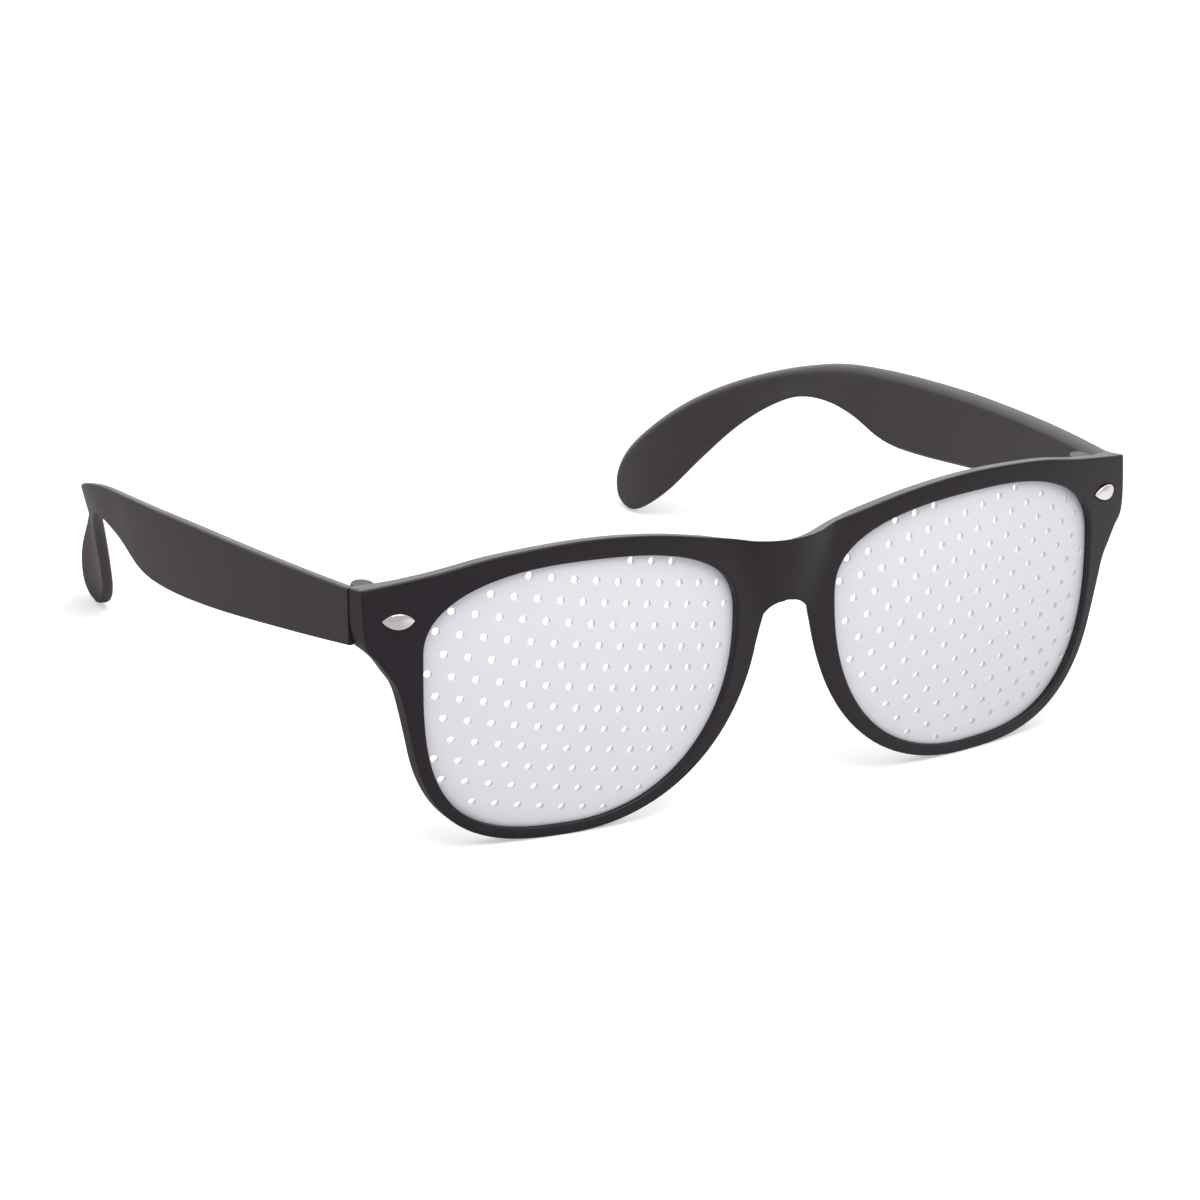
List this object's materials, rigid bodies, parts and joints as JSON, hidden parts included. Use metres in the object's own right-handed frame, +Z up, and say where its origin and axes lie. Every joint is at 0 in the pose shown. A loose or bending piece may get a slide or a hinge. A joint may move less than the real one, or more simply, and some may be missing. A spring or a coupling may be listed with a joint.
{
  "type": "party glasses",
  "caption": "Party glasses with a moulded black frame, perforated white curved lens sheets, domed metal rivet plates and side arms that fold inward on hinge pins.",
  "frame": {"origin": "middle of the bounding box's bottom face, at the level that the rims and the arm ends stand on", "axes": "+X towards the wearer's left, -Y the way the wearer looks, +Z up; the left and right halves mirror across X = 0"},
  "size_m": [0.149, 0.1313, 0.0482],
  "materials": {
    "front_plastic": "satin moulded, near black",
    "arm_plastic": "satin moulded, dark grey-black",
    "lens_sheet": "smooth white, slightly glossy",
    "plate_metal": "polished",
    "pin_steel": "plain drawn wire"
  },
  "bodies": {
    "front": {"front_frame": "front_plastic", "left_lens": "lens_sheet", "right_lens": "lens_sheet", "left_rivet_plate": "plate_metal", "right_rivet_plate": "plate_metal", "left_hinge_pin": "pin_steel", "right_hinge_pin": "pin_steel"},
    "left_arm": {"left_temple": "arm_plastic"},
    "right_arm": {"right_temple": "arm_plastic"}
  },
  "joints": [
    {"name": "left_hinge", "type": "hinge", "parent": "front", "child": "left_arm", "pos_m": [0.0685, -0.04928, 0.03819], "axis": [0, -0.0509, 0.9987], "range_deg": [0, 86]},
    {"name": "right_hinge", "type": "hinge", "parent": "front", "child": "right_arm", "pos_m": [-0.0685, -0.04928, 0.03819], "axis": [0, 0.0509, -0.9987], "range_deg": [0, 79]}
  ]
}
